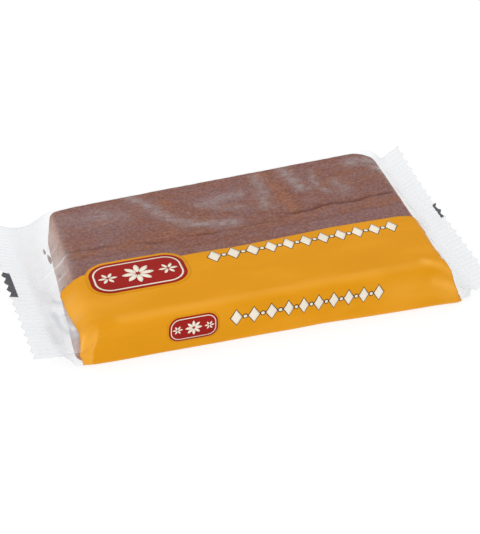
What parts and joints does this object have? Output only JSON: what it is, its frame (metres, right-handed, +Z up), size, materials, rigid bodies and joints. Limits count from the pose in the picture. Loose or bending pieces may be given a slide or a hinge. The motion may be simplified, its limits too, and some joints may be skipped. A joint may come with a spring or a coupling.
{
  "type": "wrapped filled spiced biscuit",
  "caption": "Flat oblong slab of filled spiced biscuit sealed in a clear flow-wrap bag with a printed band and crimped, toothed end fins.",
  "frame": {"origin": "middle of the base of the pack's bounding box, on the surface it lies on", "axes": "+X along the pack to its right end, +Y to its back, +Z up"},
  "size_m": [0.2304, 0.124, 0.0213],
  "materials": {
    "film": "clear, thin and glossy, milky where it is crimped",
    "print": "golden yellow ink under the film's gloss",
    "badge": "dark red ink under the film's gloss",
    "ornament": "cream ink with a dark edge, under the film's gloss",
    "mark": "dark grey ink under the film's gloss",
    "biscuit": "brown baked dough, fine-grained and cracked"
  },
  "bodies": {
    "root": {"wrapped_biscuit": "film"}
  },
  "joints": []
}
